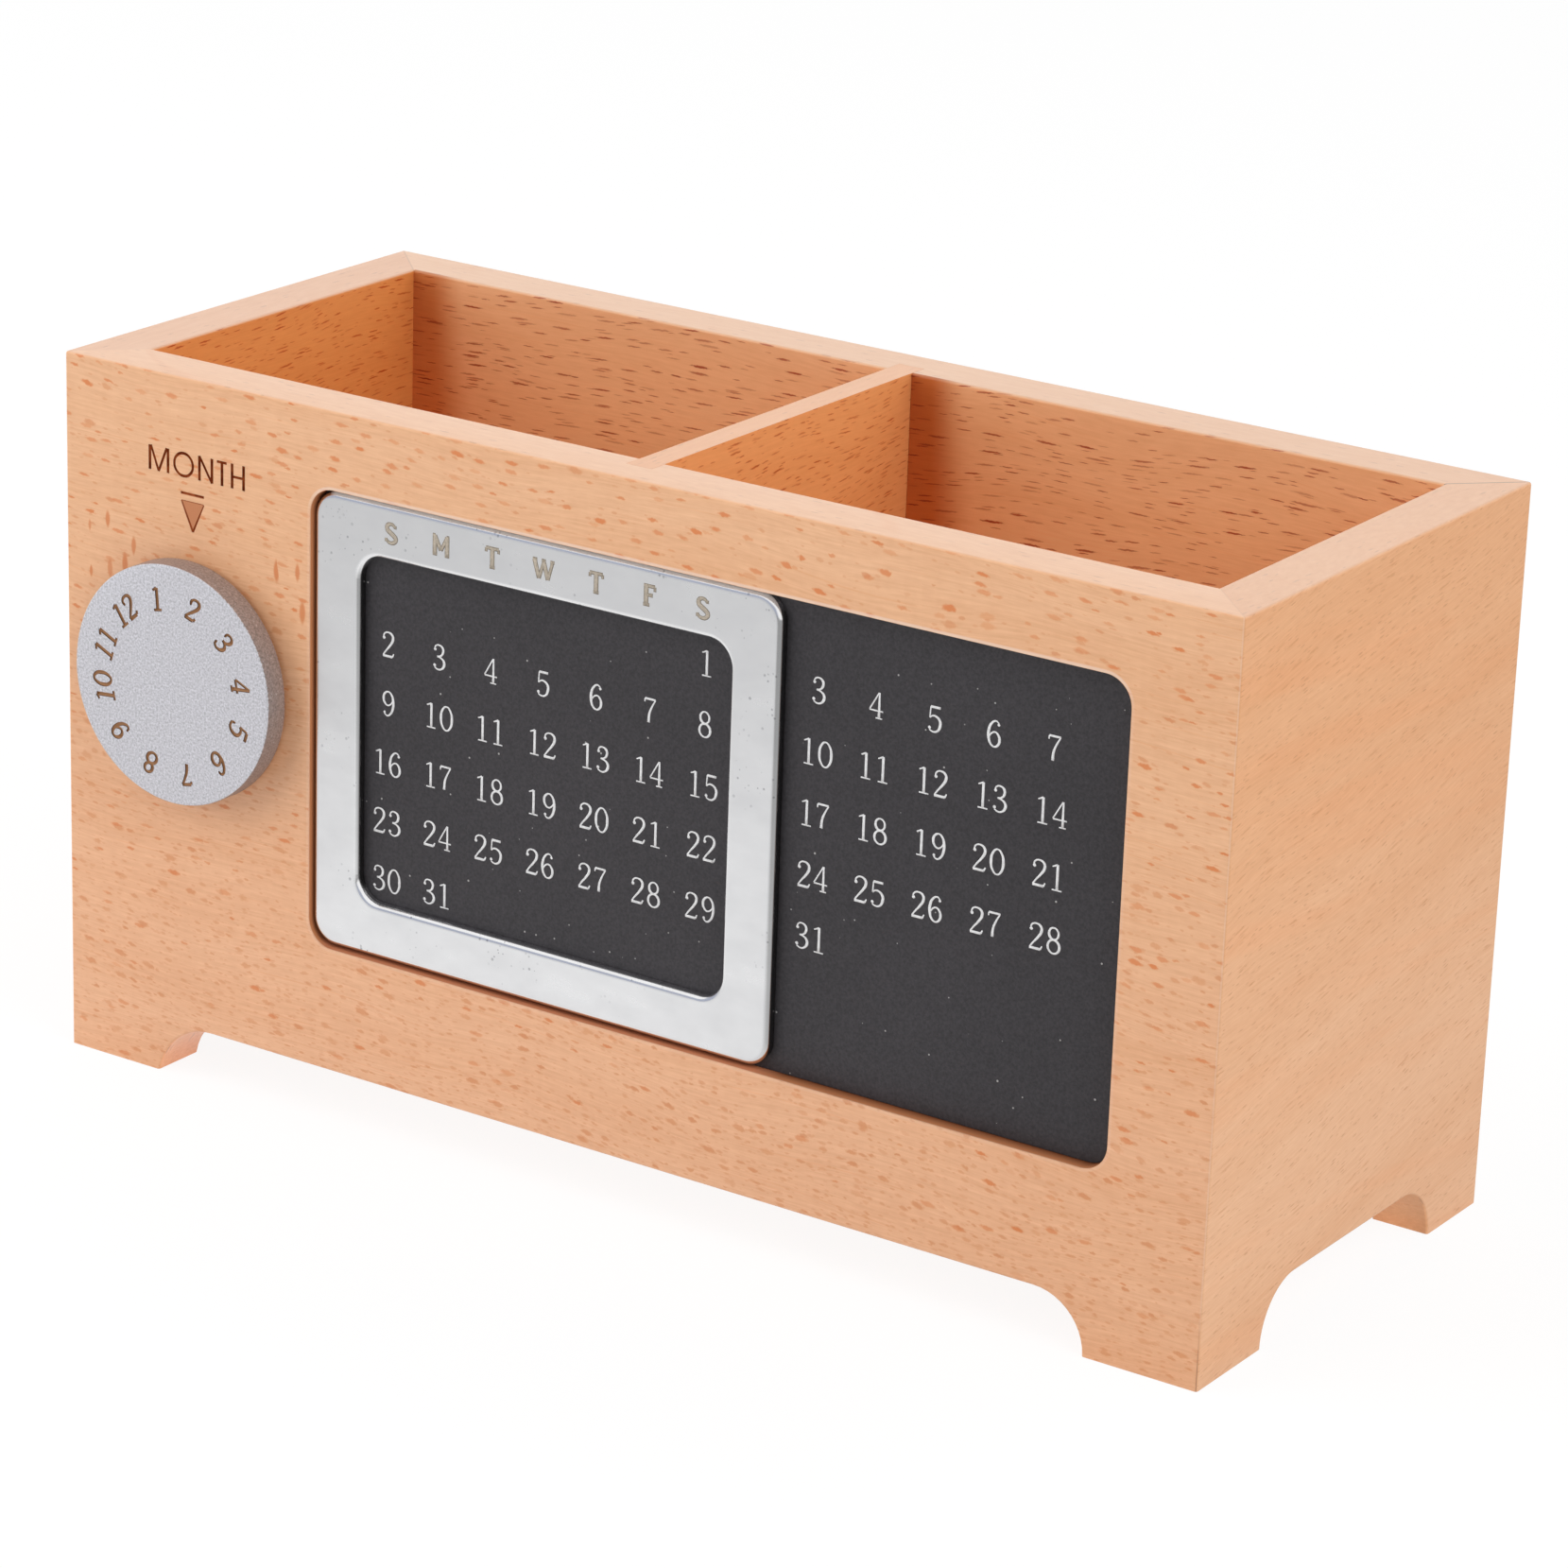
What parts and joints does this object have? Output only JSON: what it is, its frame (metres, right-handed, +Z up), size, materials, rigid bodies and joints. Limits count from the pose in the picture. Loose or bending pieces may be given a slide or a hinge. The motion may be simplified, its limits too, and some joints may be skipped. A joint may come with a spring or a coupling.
{
  "type": "pen organizer",
  "caption": "Mitred wooden pen box with two open compartments, foot arches, a sliding steel weekday frame over a number plate, and a turning month dial.",
  "frame": {"origin": "on the table, at the middle of the whole outline, dial included", "axes": "+X to the right and +Y to the back, seen from the side with the dial and the numbers; +Z up"},
  "size_m": [0.2, 0.0856, 0.11],
  "materials": {
    "beech_long_boards": "fine sanded, clear matt lacquer",
    "beech_end_boards": "fine sanded, clear matt lacquer",
    "beech_divider": "fine sanded, clear matt lacquer",
    "beech_bottom": "sanded, bare",
    "beech_tongues": "bare",
    "beech_dowel": "bare",
    "printed_face": "matte, printed with pale numbers",
    "magnet_rubber": "matte",
    "satin_steel": "satin, with rolled polished edges",
    "silver_painted_disc": "fibreboard, sprayed with sparkling silver paint",
    "grey_felt": "felt",
    "zinc_steel": "zinc plated"
  },
  "bodies": {
    "case": {"front_panel": "beech_long_boards", "back_panel": "beech_long_boards", "left_panel": "beech_end_boards", "right_panel": "beech_end_boards", "divider": "beech_divider", "bottom_board": "beech_bottom", "mitre_spline_front_left": "beech_tongues", "mitre_spline_front_right": "beech_tongues", "mitre_spline_back_left": "beech_tongues", "mitre_spline_back_right": "beech_tongues", "number_plate": "printed_face", "magnet_sheet": "magnet_rubber", "dial_friction_washer": "grey_felt"},
    "weekday_slider": {"slider_frame": "satin_steel"},
    "dial": {"month_dial": "silver_painted_disc", "dial_spindle": "beech_dowel", "dial_retaining_washer": "zinc_steel", "dial_retaining_screw": "zinc_steel"}
  },
  "joints": [
    {"name": "weekday_slide", "type": "slide", "parent": "case", "child": "weekday_slider", "axis": [1, 0, 0], "range_m": [0, 0.0557]},
    {"name": "month_turn", "type": "hinge", "parent": "case", "child": "dial", "pos_m": [-0.076, -0.03815, 0.0643], "axis": [0, 1, 0], "continuous": true}
  ]
}
